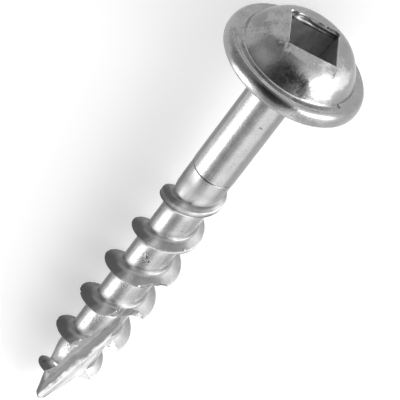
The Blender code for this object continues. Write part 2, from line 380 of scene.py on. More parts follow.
def recess_punch():
    """The punch, ring by ring, up to well above the dome."""
    top = FLANGE_T + DOME_H
    rings = [(top - RECESS_DEPTH, 0.5 * RECESS_FLOOR_SIDE)]
    for deep in WALL_RINGS:
        share = 1.0 - deep * MM / RECESS_DEPTH
        rings.append((top - deep * MM, 0.5 * (RECESS_FLOOR_SIDE + (RECESS_SIDE - RECESS_FLOOR_SIDE) * share)))
    for i in range(5):
        a = 0.5 * math.pi * i / 4
        rings.append((top - MOUTH_R * (1 - math.sin(a)), 0.5 * RECESS_SIDE + MOUTH_R * (1 - math.cos(a))))
    rings.append((top + 0.6 * MM, 0.5 * RECESS_SIDE + 1.2 * MM))
    z, half = top - RECESS_DEPTH - RECESS_CONE, RECESS_TIP
    deselect()
    bpy.ops.mesh.primitive_circle_add(vertices=4 * SIDE_STEPS, radius=half, fill_type="NGON")
    punch = bpy.context.object
    punch.name = punch.data.name = "punch"
    for i, v in enumerate(punch.data.vertices):
        v.co = squared(i, half) + Vector((0, 0, z))
    edit_all()
    for z1, half1 in rings:
        bpy.ops.mesh.extrude_region_move(TRANSFORM_OT_translate={"value": (0, 0, z1 - z)})
        k = half1 / half
        bpy.ops.transform.resize(value=(k, k, 1))
        z, half = z1, half1
    edit_done()
    for v in punch.data.vertices:
        x, y, z = v.co
        if x < -abs(y):
            v.co.x -= torn_lip(y, z, top)
    punch.rotation_euler.z = RECESS_TURN
    bpy.ops.object.transform_apply(rotation=True)
    take(punch)
    edit_all()
    close_ends()
    edit_done()
    even_normals(punch)
    return punch


punch = recess_punch()
screw.data.materials.append(plate)
punch.data.materials.append(punched)
combine(screw, punch, "DIFFERENCE")

# %% [markdown]
# ## The thread
#
# Rolling dies press the thread into the wire. It is one start, right hand, and every turn has the same
# section but for the ends: under the shank the ridge runs out low and blunt, and towards the point core
# and crest both narrow. So one pitch of the even section is swept along the helix by a Screw modifier,
# and its points are then drawn in by the heights at which they lie. No edit tool makes a ridge
# whose size changes along a helix, so that last part is a function.

# %% One pitch of the thread's section
PITCH = 3.326 * MM
CREST_R = 2.277 * MM
CREST_FLAT = 0.08 * MM
FLANK_FOOT = 0.84 * MM
ROOT_FILLET = 0.22 * MM
CREST_Z = 1.716 * MM


def curve(points, steps):
    """A smooth line through the points, with so many steps from each to the next."""
    ends = [2 * Vector(points[0]) - Vector(points[1])] + [Vector(p) for p in points]
    ends.append(2 * ends[-1] - ends[-2])
    out = []
    for a, b, c, d in zip(ends, ends[1:], ends[2:], ends[3:]):
        for i in range(steps):
            t = i / steps
            spot = 2 * b + (c - a) * t
            spot += (2 * a - 5 * b + 4 * c - d) * t * t
            spot += (3 * b - a - 3 * c + d) * t ** 3
            out.append(0.5 * spot)
    return out + [ends[-2]]


def ridge_section():
    """From the middle of one root over the crest to the middle of the next, as radius and height."""
    half = 0.5 * FLANK_FOOT
    deep = CREST_R - ROOT_R
    side = [
        (ROOT_R, half + ROOT_FILLET * 1.4),
        (ROOT_R, half + ROOT_FILLET),
        (ROOT_R + ROOT_FILLET * 0.16, half + ROOT_FILLET * 0.45),
        (ROOT_R + ROOT_FILLET * 0.48, half * 0.98),
        (ROOT_R + 0.50 * deep, half * 0.50),
        (CREST_R - 0.03 * MM, CREST_FLAT * 0.5 + 0.015 * MM),
    ]
    fine = [(ROOT_R, 0.5 * PITCH), (ROOT_R, 0.42 * PITCH), (ROOT_R, 0.36 * PITCH)]
    fine += [(p.x, p.y) for p in curve(side, 4)]
    fine += [(CREST_R - 0.01 * MM, CREST_FLAT * 0.5), (CREST_R, CREST_FLAT * 0.25)]
    return fine + [(r, -z) for r, z in reversed(fine)]


ridge = ridge_section()
print("points in one pitch of the section:", len(ridge))

# %% Sweep it along the helix
SWEEP_STEPS = 128
turns = math.ceil(LENGTH / PITCH) + 1
start = CREST_Z - (turns + 1) * PITCH

thread = draw_line("thread", [Vector((r, 0.0, start + z)) for r, z in ridge])
sweep = thread.modifiers.new("helix", "SCREW")
sweep.axis = "Z"
sweep.screw_offset = PITCH
sweep.iterations = turns - 1
sweep.steps = sweep.render_steps = SWEEP_STEPS
sweep.use_merge_vertices = True
sweep.merge_threshold = 0.002 * MM
take(thread)
bpy.ops.object.modifier_apply(modifier=sweep.name)
even_normals(thread, 0.002 * MM)
print("even thread:", len(thread.data.polygons), "faces,", turns - 1, "turns")

# %% Cut its ends square
THREAD_TOP_Z = -9.3 * MM


def cut_end(piece, z, above):
    """Bisect square to the axis, drop one side and close the cut."""
    take(piece)
    edit_all()
    bpy.ops.mesh.bisect(plane_co=(0, 0, z), plane_no=(0, 0, 1), use_fill=True, threshold=1e-8,
                        clear_outer=above, clear_inner=not above)
    edit_done()


cut_end(thread, -LENGTH, above=False)
cut_end(thread, THREAD_TOP_Z, above=True)

# %% [markdown]
# The crest is lower where the thread runs out and where the point begins, the core is a cone at the
# point, and the pinched tip stands a little off the axis. The heights and radii below are the same as
# the solid's, and only the blunt crest is wider, by 0.08 mm to each side. The rolled crest isn't clean:
# it wavers by a few hundredths and is nicked here and there.

# %% Draw the thread in at both ends
CREST_AT = [                # height on the axis, and the crest's radius there, in mm
    (-30.6, 0.40), (-29.9, 1.15), (-29.1, 1.62), (-27.4, 1.98), (-25.7, 2.25), (-23.0, CREST_R / MM),
    (-17.4, CREST_R / MM), (-15.7, 2.16), (-14.1, 2.04), (-12.4, 1.92), (-10.7, 1.78), (-9.2, 1.30),
]
BLUNT_Z = (-15.5 * MM, -12.8 * MM)  # where the crest begins to go blunt, and is
BLUNT_EXTRA = 0.15 * MM     # how much the blunt crest is widened to each side
POINT_R = 0.33 * MM
POINT_CORE_H = 4.9 * MM
POINT_ROUND = 0.35 * MM
POINT_OFF = 0.15 * MM       # how far the tip stands off the axis
POINT_OFF_H = 5.0 * MM      # and from which height down it bends
POINT_LAG = 0.24 * MM       # how far the last turns hang back,
LAG_FROM = (0.8 * MM, 2.2 * MM)     # from these heights over the tip
LAG_TO = (3.0 * MM, 6.0 * MM)       # to these
NICK_DEEP = 0.07 * MM
WAVER = 0.018 * MM


def core_radius(z):
    rise = z + LENGTH
    r = POINT_R + (ROOT_R - POINT_R) * min(max(rise / POINT_CORE_H, 0.0), 1.0)
    return r - 0.45 * POINT_R * (1.0 - smooth(-0.2 * POINT_ROUND, POINT_ROUND, rise))


def crest_radius(z):
    for (z0, r0), (z1, r1) in zip(CREST_AT, CREST_AT[1:]):
        if z0 * MM <= z <= z1 * MM:
            r = r0 + (r1 - r0) * (z / MM - z0) / (z1 - z0)
            return max(r * MM, core_radius(z) - 0.01 * MM)
    return core_radius(z)


def from_crest(v):
    """How far a point lies above or below the nearest crest, along the axis."""
    turn = math.atan2(v.y, v.x) / math.tau
    return (v.z - CREST_Z - PITCH * turn + 0.5 * PITCH) % PITCH - 0.5 * PITCH


def crest_loss(v):
    """What the crest lacks here: it wavers, and now and then it has a nick."""
    waver = 0.5 + 0.5 * noise.noise(v / (0.9 * MM))
    nick = smooth(0.34, 0.60, noise.noise(v / (0.34 * MM) + Vector((7.0, 0.0, 3.0))))
    sharp = 1.0 - smooth(*BLUNT_Z, v.z)
    return WAVER * waver + NICK_DEEP * nick * sharp


def draw_in(v):
    """Move a point of the even thread to where the real one has it."""
    r = math.hypot(v.x, v.y)
    if r < 0.5 * ROOT_R:
        return
    share = (r - ROOT_R) / (CREST_R - ROOT_R)
    off = from_crest(v)
    core = core_radius(v.z)
    crest = crest_radius(v.z)
    if crest > core:
        crest -= crest_loss(v) * smooth(0.7, 1.0, share)
    k = (core + share * (crest - core)) / r
    v.x *= k
    v.y *= k
    rise = v.z + LENGTH
    held = min(max(share * 2.0, 0.0), 1.0)
    v.z += math.copysign(BLUNT_EXTRA * smooth(*BLUNT_Z, v.z) * held, off)
    v.z -= POINT_LAG * smooth(*LAG_FROM, rise) * (1.0 - smooth(*LAG_TO, rise))
    v.y -= POINT_OFF * (1.0 - smooth(0.0, POINT_OFF_H, rise))


for v in thread.data.vertices:
    draw_in(v.co)
even_normals(thread)
print("thread:", len(thread.data.polygons), "faces")

# %% [markdown]
# ## The flute
#
# The flute is a long slanting valley. The dies drag the metal along it, so its section isn't an even arc:
# it has fine grooves, and the extruded cutter carries them from end to end.

# %% The flute at the point
FLUTE_FOOT = Vector((0.19, -0.45, -32.0)) * MM
FLUTE_HEAD = Vector((0.573, 1.231, -21.5)) * MM
FLUTE_FACE = math.radians(77.0)
FLUTE_WALL = math.radians(-37.0)
FLUTE_ROUND = 1.10 * MM
FLUTE_REACH = 3.4 * MM
FLUTE_STEPS = 64
FLUTE_BELOW = 0.15          # the cutter starts this much of its run below the foot
FLUTE_RUN = 1.75            # and is so many runs long, so it passes through at both ends
GROOVE_DEEP = 0.030 * MM
valley_run = FLUTE_HEAD - FLUTE_FOOT


def groove(i):
    """The dragged valley's fine grooves, deeper on the wall than on the face."""
    coarse = noise.noise(Vector((0.0, 3.1, i * 0.17)))
    fine = noise.noise(Vector((4.0, 1.3, i * 0.52)))
    return GROOVE_DEEP * (coarse + 0.30 * fine) * (0.25 + 0.75 * i / FLUTE_STEPS)


def flute_middle():
    """The middle of the valley's rounding, from the corner where face and wall would meet."""
    mid = 0.5 * (FLUTE_FACE + FLUTE_WALL)
    away = FLUTE_ROUND / math.sin(0.5 * (FLUTE_FACE - FLUTE_WALL))
    return Vector((away * math.cos(mid), away * math.sin(mid), 0))


def flute_section():
    """Across the axis: flat face, rounded valley, wall, and an outer arc that closes it."""
    opening = FLUTE_FACE - FLUTE_WALL
    centre = flute_middle()
    line = [Vector((FLUTE_REACH * math.cos(FLUTE_FACE), FLUTE_REACH * math.sin(FLUTE_FACE), 0))]
    a0, a1 = FLUTE_FACE + 0.5 * math.pi, FLUTE_WALL + 1.5 * math.pi
    for i in range(FLUTE_STEPS + 1):
        a = a0 + (a1 - a0) * i / FLUTE_STEPS
        line.append(centre + Vector((math.cos(a), math.sin(a), 0)) * (FLUTE_ROUND + groove(i)))
    line.append(Vector((FLUTE_REACH * math.cos(FLUTE_WALL), FLUTE_REACH * math.sin(FLUTE_WALL), 0)))
    for i in range(1, 4):
        a = FLUTE_WALL + opening * i / 4
        line.append(Vector((math.cos(a), math.sin(a), 0)) * FLUTE_REACH * 1.15)
    return line


def flute_cutter():
    """The section, closed to a face and drawn out along the valley."""
    low = FLUTE_FOOT - FLUTE_BELOW * valley_run
    line = [low + p for p in flute_section()]
    cutter = draw_line("flute_cutter", line + [line[0]])
    even_normals(cutter)
    edit_all()
    bpy.ops.mesh.edge_face_add()
    bpy.ops.mesh.select_mode(type="FACE")
    bpy.ops.mesh.select_all(action="SELECT")
    bpy.ops.mesh.extrude_region_move(TRANSFORM_OT_translate={"value": valley_run * FLUTE_RUN})
    close_ends()
    edit_done()
    even_normals(cutter)
    return cutter


cutter = flute_cutter()
thread.data.materials.append(plate)
cutter.data.materials.append(pinched)
combine(thread, cutter, "DIFFERENCE")

# %% [markdown]
# ## One piece
#
# Blank and thread are one piece of steel, so a Boolean joins them. The thread's core reaches up inside
# the shank's end, and the join lies where the shank draws in.

# %% Join the thread to the blank
combine(screw, thread, "UNION")

# %% [markdown]
# ## Small unevenness
#
# Cold forming leaves no surface quite even, and bright plate shows it: highlights waver along their
# edges. Each point is moved inwards along its normal by up to two hundredths of a millimetre, so the screw
# never grows past its box. Where the flute cut the thread's crests the metal is torn, so the points on
# those cut edges are moved by more.

# %% Waver the skin and tear the cut crests
SKIN_LUMPS = [(1.4 * MM, 0.020 * MM), (0.45 * MM, 0.0045 * MM)]     # how broad, and how deep
SHAFT_SHARE = 0.15          # the drawn shank is more even than the forged head
TEAR = 0.060 * MM
TEAR_SEED = 5               # without one the tears would be others on each run
TORN_OUT = 0.22 * MM        # only points this far out from the core are torn


def skin_loss(v):
    share = 1.0 if v.z > -0.3 * MM or v.z < SHANK_END_Z else SHAFT_SHARE
    return share * sum(deep * (0.5 + 0.5 * noise.noise(v / size)) for size, deep in SKIN_LUMPS)


def cut_crest_points(piece):
    """Points on the flute's edge that stand out beyond the core."""
    slot = piece.data.materials.find("pinched_flute")
    cut, skin = set(), set()
    for face in piece.data.polygons:
        (cut if face.material_index == slot else skin).update(face.vertices)
    points = [piece.data.vertices[i] for i in cut & skin]
    return [v for v in points if math.hypot(v.co.x, v.co.y) > core_radius(v.co.z) + TORN_OUT]


torn = cut_crest_points(screw)
normals = [v.normal.copy() for v in screw.data.vertices]
for v, normal in zip(screw.data.vertices, normals):
    v.co -= normal * skin_loss(v.co)
noise.seed_set(TEAR_SEED)
for v in torn:
    shift = noise.noise_vector(v.co / (0.21 * MM)) * TEAR
    v.co += Vector((shift.x, shift.y, 1.6 * shift.z)) - normals[v.index] * 0.5 * TEAR
print("torn points on the cut crests:", len(torn))

# %% [markdown]
# The finishes need to know where the thread's flanks and its crest are, and a place alone can't tell,
# because the thread climbs. So each point carries three values: a painted light level, whether it lies on a
# flank, and how much painted highlight the crest has there. The painted light level is painted shade and
# painted reflection set by the side round the axis: darker on some sides and brighter on others, most on the
# flanks and in the fillets at their foot, less on the core, and least on the drawn shank, with the head a
# little darker all over. The blunt turn's lower edge and the step line on the shank carry painted shade.

# %% Mark the painted light on the skin, and the crest's painted highlight
# Painted shade and painted reflection by the side round the axis: on the flanks, the core, the fillets and
# the drawn shank.
FLANK_PAINTED_LIGHT = [            # degrees round the axis, and the brightness there
    (-180, 0.60), (-120, 0.50), (-85, 0.22), (-50, 0.30), (-30, 0.33), (-18, 0.70), (-4, 2.20), (15, 1.45),
    (37, 1.00), (52, 0.82), (70, 1.45), (85, 1.60), (110, 1.10), (130, 0.90), (180, 0.60),
]
CORE_PAINTED_LIGHT = [
    (-180, 0.75), (-80, 0.33), (-62, 0.40), (-46, 1.00), (0, 1.22), (35, 0.70), (60, 0.88), (82, 1.80),
    (180, 0.75),
]
FILLET_PAINTED_LIGHT = [
    (-180, 0.80), (-45, 0.50), (-25, 0.60), (-8, 2.00), (8, 2.20), (25, 1.90), (45, 1.10), (70, 0.80),
    (180, 0.80),
]
SHANK_PAINTED_LIGHT = [
    (-180, 0.80), (-90, 0.90), (-78, 0.55), (-62, 0.60), (-48, 1.12), (-28, 1.00), (-12, 1.42), (0, 1.18),
    (12, 1.00), (36, 0.88), (60, 0.72), (90, 0.50), (180, 0.80),
]
# The whole head a little darker: painted shade.
HEAD_PAINTED_SHADE = 0.87
# The next value is painted shade on the blunt turn's lower edge.
BLUNT_UNDER_SHADE = 0.30          # the blunt turn's lower edge
# The next value is painted shade in the step line on the shank.
STEP_PAINTED_SHADE = 0.12            # the step line
STEP_MIDDLE_Z = SHANK_STEP_Z - 0.03 * MM
FILLET_OFF = (0.80 * MM, 0.62 * MM)     # from the crest along the axis: where the fillet ends, and is full
FILLET_UP = (0.12, 0.28)                # up the ridge: where it begins to fade, and is gone
FILLET_Z = (-28.5 * MM, -26.5 * MM)     # above the point: where it begins, and is full
# The crest's painted highlight: how much the sharp crest has, and what the blunt one has more.
CREST_HIGHLIGHT = (0.2, 0.8)     # how bright the sharp crest is, and what the blunt one has more


def at_angle(table, angle):
    """Read a value between the table's angles."""
    for (a0, v0), (a1, v1) in zip(table, table[1:]):
        if a0 <= angle <= a1:
            return v0 + (v1 - v0) * smooth(a0, a1, angle)


painted_light_mark = screw.data.attributes.new("painted_light", "FLOAT", "POINT")
flank_mark = screw.data.attributes.new("flank", "FLOAT", "POINT")
crest_highlight_mark = screw.data.attributes.new("crest", "FLOAT", "POINT")
for v in screw.data.vertices:
    angle = math.degrees(math.atan2(v.co.y, v.co.x))
    shank = at_angle(SHANK_PAINTED_LIGHT, angle)
    painted_level = shank + (HEAD_PAINTED_SHADE - shank) * smooth(-0.2 * MM, -0.05 * MM, v.co.z)
    if v.co.z < THREAD_TOP_Z:
        core, crest = core_radius(v.co.z), crest_radius(v.co.z)
        share = (math.hypot(v.co.x, v.co.y) - core) / max(crest - core, 0.1 * MM)
        flank = smooth(0.05, 0.45, share)
        painted_light = at_angle(CORE_PAINTED_LIGHT, angle) * (1.0 - flank) + at_angle(FLANK_PAINTED_LIGHT, angle) * flank
        off = from_crest(v.co)
        fillet = smooth(*FILLET_OFF, abs(off)) * (1.0 - smooth(*FILLET_UP, share))
        fillet *= smooth(*FILLET_Z, v.co.z)
        painted_light += (at_angle(FILLET_PAINTED_LIGHT, angle) - painted_light) * fillet
        # Painted shade under the blunt turn's crest.
        blunt = smooth(*BLUNT_Z, v.co.z)
        under_shade = blunt * smooth(0.5, 0.8, share) * smooth(-0.03 * MM, 0.05 * MM, -off)
        painted_light *= 1.0 + (BLUNT_UNDER_SHADE - 1.0) * under_shade
        painted_level += (painted_light - painted_level) * smooth(THREAD_TOP_Z, SHANK_END_Z, v.co.z)
        flank_mark.data[v.index].value = max(flank, fillet)
        # Painted highlight along the crest.
        crest_highlight_mark.data[v.index].value = smooth(0.88, 1.0, share) * (CREST_HIGHLIGHT[0] + CREST_HIGHLIGHT[1] * blunt)
    # Painted shade in the step line.
    if abs(v.co.z - STEP_MIDDLE_Z) < 0.02 * MM:
        painted_level *= STEP_PAINTED_SHADE
    painted_light_mark.data[v.index].value = painted_level

# %% Lay it down
screw.matrix_world = LYING
take(screw)
bpy.ops.object.transform_apply(location=True, rotation=True)
bpy.ops.object.shade_smooth_by_angle(angle=math.radians(32.0))
print("screw:", len(screw.data.polygons), "faces, materials", [m.name for m in screw.data.materials])

# %% [markdown]
# ## The finishes
#
# The steel is plated with bright zinc. It is metal all over, a middle grey, and its look comes from how
# unevenly it shines: cloudy patches a millimetre across, a fine mottle of a tenth of that, small pits,
# and streaks where a tool drew over it. Each of these is a node group, so that the three finishes (the
# plated skin, the punched recess and the pinched flute) can share them with values of their own.
#
# The groups work in the upright screw's own millimetres. A Mapping node turns the lying piece's Object
# coordinates back into those.

# %% Helpers for node trees
def node(tree, kind, inputs=None, **settings):
    """Add a shader node, set its options, and set or link its inputs."""
    made = tree.nodes.new("ShaderNode" + kind)
    for name, value in settings.items():
        setattr(made, name, value)
    for key, value in (inputs or {}).items():
        if isinstance(value, bpy.types.NodeSocket):
            tree.links.new(value, made.inputs[key])
        else:
            made.inputs[key].default_value = value
    return made


def calc(tree, operation, a, b=0.0):
    return node(tree, "Math", {0: a, 1: b}, operation=operation).outputs[0]


def times(tree, a, b):
    return calc(tree, "MULTIPLY", a, b)


def vector_calc(tree, operation, a, b):
    return node(tree, "VectorMath", {0: a, 1: b}, operation=operation).outputs[0]


def split(tree, vector):
    return node(tree, "SeparateXYZ", {0: vector}).outputs


def turn_back(tree, place, rotation):
    """Coordinates along the axes of something that is turned so."""
    inputs = {"Vector": place, "Rotation": rotation}
    return node(tree, "Mapping", inputs, vector_type="TEXTURE").outputs[0]


def ramp(tree, value, low, high, to_low=0.0, to_high=1.0):
    """A soft step from one value to another."""
    inputs = {"Value": value, "From Min": low, "From Max": high, "To Min": to_low, "To Max": to_high}
    return node(tree, "MapRange", inputs, interpolation_type="SMOOTHSTEP").outputs[0]


def tint(tree, grey, mask, by):
    """A grey times a value where a mask is full."""
    return times(tree, grey, ramp(tree, mask, 0.0, 1.0, 1.0, by))


def plus(tree, value, mask, weight):
    """A value with so much of a mask added to it."""
    return calc(tree, "ADD", value, times(tree, mask, weight))


def new_group(name, numbers, outputs):
    """A group that takes a place and some numbers, and the sockets to build it between."""
    group = bpy.data.node_groups.new(name, "ShaderNodeTree")
    sockets = [("Place", "INPUT", "Vector")] + [(label, "INPUT", "Float") for label in numbers]
    sockets += [(label, "OUTPUT", "Float") for label in outputs]
    for label, side, kind in sockets:
        group.interface.new_socket(label, in_out=side, socket_type="NodeSocket" + kind)
    return group, group.nodes.new("NodeGroupInput").outputs, group.nodes.new("NodeGroupOutput").inputs


def use_group(tree, group, place, **numbers):
    """Use a group at a place, with its numbers given by name."""
    return node(tree, "Group", {"Place": place, **numbers}, node_tree=group).outputs


# %% [markdown]
# Mottle: two layers of noise. The broad one is the cloudiness of the plating bath, the fine one is the
# zinc's own grain. Both come out as values round a half.

# %% Group: mottle
mottle, given, out = new_group("zinc_mottle", ["Patch", "Grain"], ["Cloud", "Fine"])
for label, size, detail in (("Cloud", "Patch", 3.0), ("Fine", "Grain", 2.0)):
    scale = calc(mottle, "DIVIDE", 1.0, given[size])
    patch = node(mottle, "TexNoise", {"Vector": given["Place"], "Scale": scale, "Detail": detail})
    mottle.links.new(patch.outputs["Fac"], out[label])

# %% [markdown]
# Pits: small dark hollows, scattered thinly. A Voronoi texture gives one point to each cell, only the cells
# whose random colour is low enough have a pit, and the distance to the point makes it round.

# %% Group: pits
PIT_WOBBLE = 0.12           # how far its place is pushed about, which makes it less than round
PIT_HEART, PIT_EDGE = 0.2, 0.6      # shares of its width at which it begins to fade, and is gone

pits, given, out = new_group("pits", ["Apart", "Across", "Share"], ["Pit"])
uneven = node(pits, "TexNoise", {"Vector": given["Place"], "Scale": 6.0, "Detail": 1.0})
inputs = {0: uneven.outputs["Color"], 1: (PIT_WOBBLE, PIT_WOBBLE, PIT_WOBBLE), 2: given["Place"]}
pushed = node(pits, "VectorMath", inputs, operation="MULTIPLY_ADD")
scale = calc(pits, "DIVIDE", 1.0, given["Apart"])
inputs = {"Vector": pushed.outputs[0], "Scale": scale, "Randomness": 1.0}
cells = node(pits, "TexVoronoi", inputs)
near = times(pits, cells.outputs["Distance"], given["Apart"])
heart = times(pits, given["Across"], PIT_HEART)
edge = times(pits, given["Across"], PIT_EDGE)
round_pit = ramp(pits, near, heart, edge, 1.0, 0.0)
luck = node(pits, "SeparateColor", {"Color": cells.outputs["Color"]}).outputs["Red"]
chosen = calc(pits, "GREATER_THAN", given["Share"], luck)
pits.links.new(times(pits, round_pit, chosen), out["Pit"])

# %% [markdown]
# Drawn streaks: noise that is stretched a long way in one direction. Each finish turns its coordinates
# so that this direction is its tool's own.

# %% Group: drawn streaks
STREAK_SQUEEZE = (1.0, 1.0, 0.06)   # so a streak is about 17 times as long as it is wide

streaks, given, out = new_group("drawn_streaks", ["Across"], ["Streak"])
squeezed = vector_calc(streaks, "MULTIPLY", given["Place"], STREAK_SQUEEZE)
scale = calc(streaks, "DIVIDE", 1.0, given["Across"])
lines = node(streaks, "TexNoise", {"Vector": squeezed, "Scale": scale, "Detail": 3.0})
streaks.links.new(lines.outputs["Fac"], out["Streak"])

# %% [markdown]
# Marks: a handful of single flecks, ticks and scores that this one screw has. Each is a soft spot at a
# place on it, longer one way than the other where it is a score. Dark ones are hollow; bright ones stand up
# and carry a painted glint. Wide patches with frayed edges make parts of the head brighter or darker as
# painted highlights, painted reflections and painted shade, and down the front the skin was scuffed rough.

# %% Single marks on the plated skin
DARK_MARKS = [              # in each list: place in mm on the upright screw, half width, half height
    ((1.35, -3.32, 1.59), 0.05, 0.05),
    ((2.08, -2.41, 2.26), 0.06, 0.05),
    ((2.46, -2.25, 2.04), 0.06, 0.06),
    ((0.86, -2.99, 2.36), 0.05, 0.04),
    ((1.57, 3.51, 1.10), 0.16, 0.06),
    ((1.28, 0.70, -3.64), 0.16, 0.09),
    ((1.33, -0.04, -16.43), 0.13, 0.10),
    ((1.30, 0.20, -16.62), 0.09, 0.10),
    ((1.31, -0.22, -18.9), 0.12, 0.18),
    ((0.54, 1.22, -22.58), 0.11, 0.06),
    ((0.65, -1.22, -28.80), 0.22, 0.12),
    ((1.22, -0.54, -25.85), 0.22, 0.12),
]
# Painted highlights, painted reflections and painted shade on the head, in wide patches.
PAINTED_LIGHT_PATCHES = [                 # and the last number is how bright the painted light is there
    ((3.35, 0.45, 1.88), 1.15, 0.80, 0.36),     # the dome, from its dark middle to the right
    ((3.15, 1.45, 1.65), 1.00, 0.70, 0.36),
    ((1.60, 2.35, 2.45), 1.75, 0.85, 2.40),     # its shoulder, a painted highlight
    ((2.95, -1.75, 1.75), 1.40, 0.65, 1.60),    # and its left
    ((2.15, -1.00, 2.70), 0.95, 0.40, 0.65),
    ((0.40, -3.10, 2.10), 2.40, 1.10, 0.66),
    ((3.95, 0.60, 1.12), 2.60, 0.09, 1.90),     # the ledge
    ((4.50, 0.70, 0.92), 1.70, 0.22, 0.58),     # the rim's top
    ((2.60, -3.70, 0.95), 1.70, 0.25, 0.68),
    ((3.05, 3.30, 0.95), 1.40, 0.30, 1.50),
    ((4.40, -1.40, 0.45), 1.90, 0.45, 1.90),    # the rim's side
    ((3.90, 2.50, 0.45), 1.20, 0.35, 0.62),
]
SCUFFS = [
    ((1.33, -0.06, -16.50), 0.42, 0.60),
    ((1.32, -0.10, -19.20), 0.40, 0.80),
    ((1.30, -0.10, -22.60), 0.40, 0.70),
    ((1.00, -0.60, -26.20), 0.45, 0.60),
]
# Raised specks, each with a painted glint.
GLINT_MARKS = [
    ((2.20, 0.89, 2.84), 0.07, 0.06),
    ((1.35, -0.12, -16.52), 0.07, 0.07),
    ((1.34, -0.20, -16.32), 0.06, 0.06),
    ((1.34, 0.12, -16.58), 0.06, 0.05),
    ((1.93, -0.50, -14.95), 0.08, 0.07),
    ((1.14, 1.52, -14.29), 0.10, 0.07),
]


def marks_mask(tree, place, marks, frayed=0.0, heart=0.5):
    """One soft spot for each mark, the strongest of them at each place. Inside its heart it is full."""
    mask = None
    for where, wide, high in marks:
        away = vector_calc(tree, "SUBTRACT", place, where)
        scaled = vector_calc(tree, "MULTIPLY", away, (1 / wide, 1 / wide, 1 / high))
        far = node(tree, "VectorMath", {0: scaled}, operation="LENGTH").outputs["Value"]
        spot = ramp(tree, calc(tree, "ADD", far, frayed), heart, 1.1, 1.0, 0.0)
        mask = spot if mask is None else calc(tree, "MAXIMUM", mask, spot)
    return mask


# %% [markdown]
# Each finish is then put together from the groups: a grey, made lighter and darker by the masks, a
# roughness that follows the clouds, and a bump whose height is in millimetres.

# %% Start a finish, and close it
def start_finish(material):
    """Give a material nodes, and a place in the upright screw's millimetres."""
    material.use_nodes = True
    tree = material.node_tree
    where = node(tree, "TexCoord").outputs["Object"]
    inputs = {"Vector": where, "Location": LYING.translation, "Rotation": LYING.to_euler(),
              "Scale": (MM, MM, MM)}
    return tree, node(tree, "Mapping", inputs, vector_type="TEXTURE").outputs[0]


def marked(tree, name):
    """A value that the mesh's points carry."""
    return node(tree, "Attribute", attribute_name=name).outputs["Fac"]


def total(tree, base, *parts):
    """A base, and to it each (value, weight), where a value of a half adds nothing."""
    for value, weight in parts:
        inputs = {0: calc(tree, "SUBTRACT", value, 0.5), 1: weight, 2: base}
        base = node(tree, "Math", inputs, operation="MULTIPLY_ADD").outputs[0]
    return base


def close_finish(tree, grey, rough, height):
    """The grey, the roughness and a height in millimetres go to the shader."""
    shader = tree.nodes["Principled BSDF"]
    shader.inputs["Metallic"].default_value = 1.0
    bump = node(tree, "Bump", {"Strength": 1.0, "Distance": MM, "Height": height})
    colour = node(tree, "CombineColor", {0: grey, 1: grey, 2: grey})
    tree.links.new(colour.outputs[0], shader.inputs["Base Color"])
    tree.links.new(rough, shader.inputs["Roughness"])
    tree.links.new(bump.outputs["Normal"], shader.inputs["Normal"])
    print("finish:", len(tree.nodes), "nodes")


# %% The plated skin
ZINC_GREY, ZINC_ROUGH = 0.365, 0.25
# The crest's tint is a painted highlight, and the bright marks' tint a painted glint.
CREST_HIGHLIGHT_TINT, PIT_TINT, DARK_TINT, GLINT_TINT = 1.5, 0.55, 0.50, 1.9

tree, place = start_finish(plate)
cloud, fine = use_group(tree, mottle, place, Patch=0.8, Grain=0.11)
pit = use_group(tree, pits, place, Apart=0.55, Across=0.11, Share=0.3)["Pit"]
streak = use_group(tree, streaks, place, Across=0.10)["Streak"]
frayed = total(tree, 0.0, (cloud, 1.5), (fine, 0.9))
dark = marks_mask(tree, place, DARK_MARKS)
scuff = marks_mask(tree, place, SCUFFS, frayed, heart=0.1)
glint = marks_mask(tree, place, GLINT_MARKS)
painted_light, flank, crest = marked(tree, "painted_light"), marked(tree, "flank"), marked(tree, "crest")

grey = total(tree, ZINC_GREY, (cloud, 0.16), (fine, 0.14), (streak, 0.08))
# Painted shade and painted reflection that the points carry.
grey = times(tree, grey, painted_light)
# Painted highlights, painted reflections and painted shade in wide patches on the head.
for *patch, painted_level in PAINTED_LIGHT_PATCHES:
    grey = tint(tree, grey, marks_mask(tree, place, [patch], frayed, heart=0.1), painted_level)
# The crest's painted highlight, the pits, the dark marks and the bright marks' painted glints.
for mask, by in ((crest, CREST_HIGHLIGHT_TINT), (pit, PIT_TINT), (dark, DARK_TINT), (glint, GLINT_TINT)):
    grey = tint(tree, grey, mask, by)
scuffed = times(tree, total(tree, 0.0, (fine, 1.0)), scuff)
grey = plus(tree, grey, scuffed, 0.9)
rough = total(tree, ZINC_ROUGH, (cloud, 0.18), (fine, 0.10))
rough = plus(tree, rough, pit, 0.2)
rough = plus(tree, rough, flank, 0.18)
height = total(tree, 0.0, (cloud, 0.010), (fine, 0.0045), (streak, 0.0015))
for mask, rise in ((scuffed, 0.026), (pit, -0.008), (dark, -0.018), (glint, 0.02)):
    height = plus(tree, height, mask, rise)
close_finish(tree, grey, rough, height)

# %% [markdown]
# The recess's walls were scraped by the punch, top to bottom, so their streaks run down the axis and are
# stronger. Less of the plating reaches in there, so they are rougher, and their grey is painted light, set
# lighter than the plating's to brighten the recess. On the torn lip the metal is smeared along the edge, so
# the streaks there run level, and two of the other edges carry a painted highlight. A place is told by the
# square's own axes, whose -X side is the torn one.

# %% The punched recess
# The punched grey is set lighter than the plating's: painted light in the recess.
PUNCHED_PAINTED_LIGHT_GREY, PUNCHED_ROUGH = 0.46, 0.42
LIP_DEEP = (0.56, 0.44)     # mm down: where the torn lip begins, and is full
LIP_OUT = (-1.20, -1.45)    # and the same across
EDGE_HIGHLIGHT_DEEP = (0.16, 0.06)    # mm down: where an edge's painted highlight begins, and is full
EDGE_HIGHLIGHT_GREY = 0.95

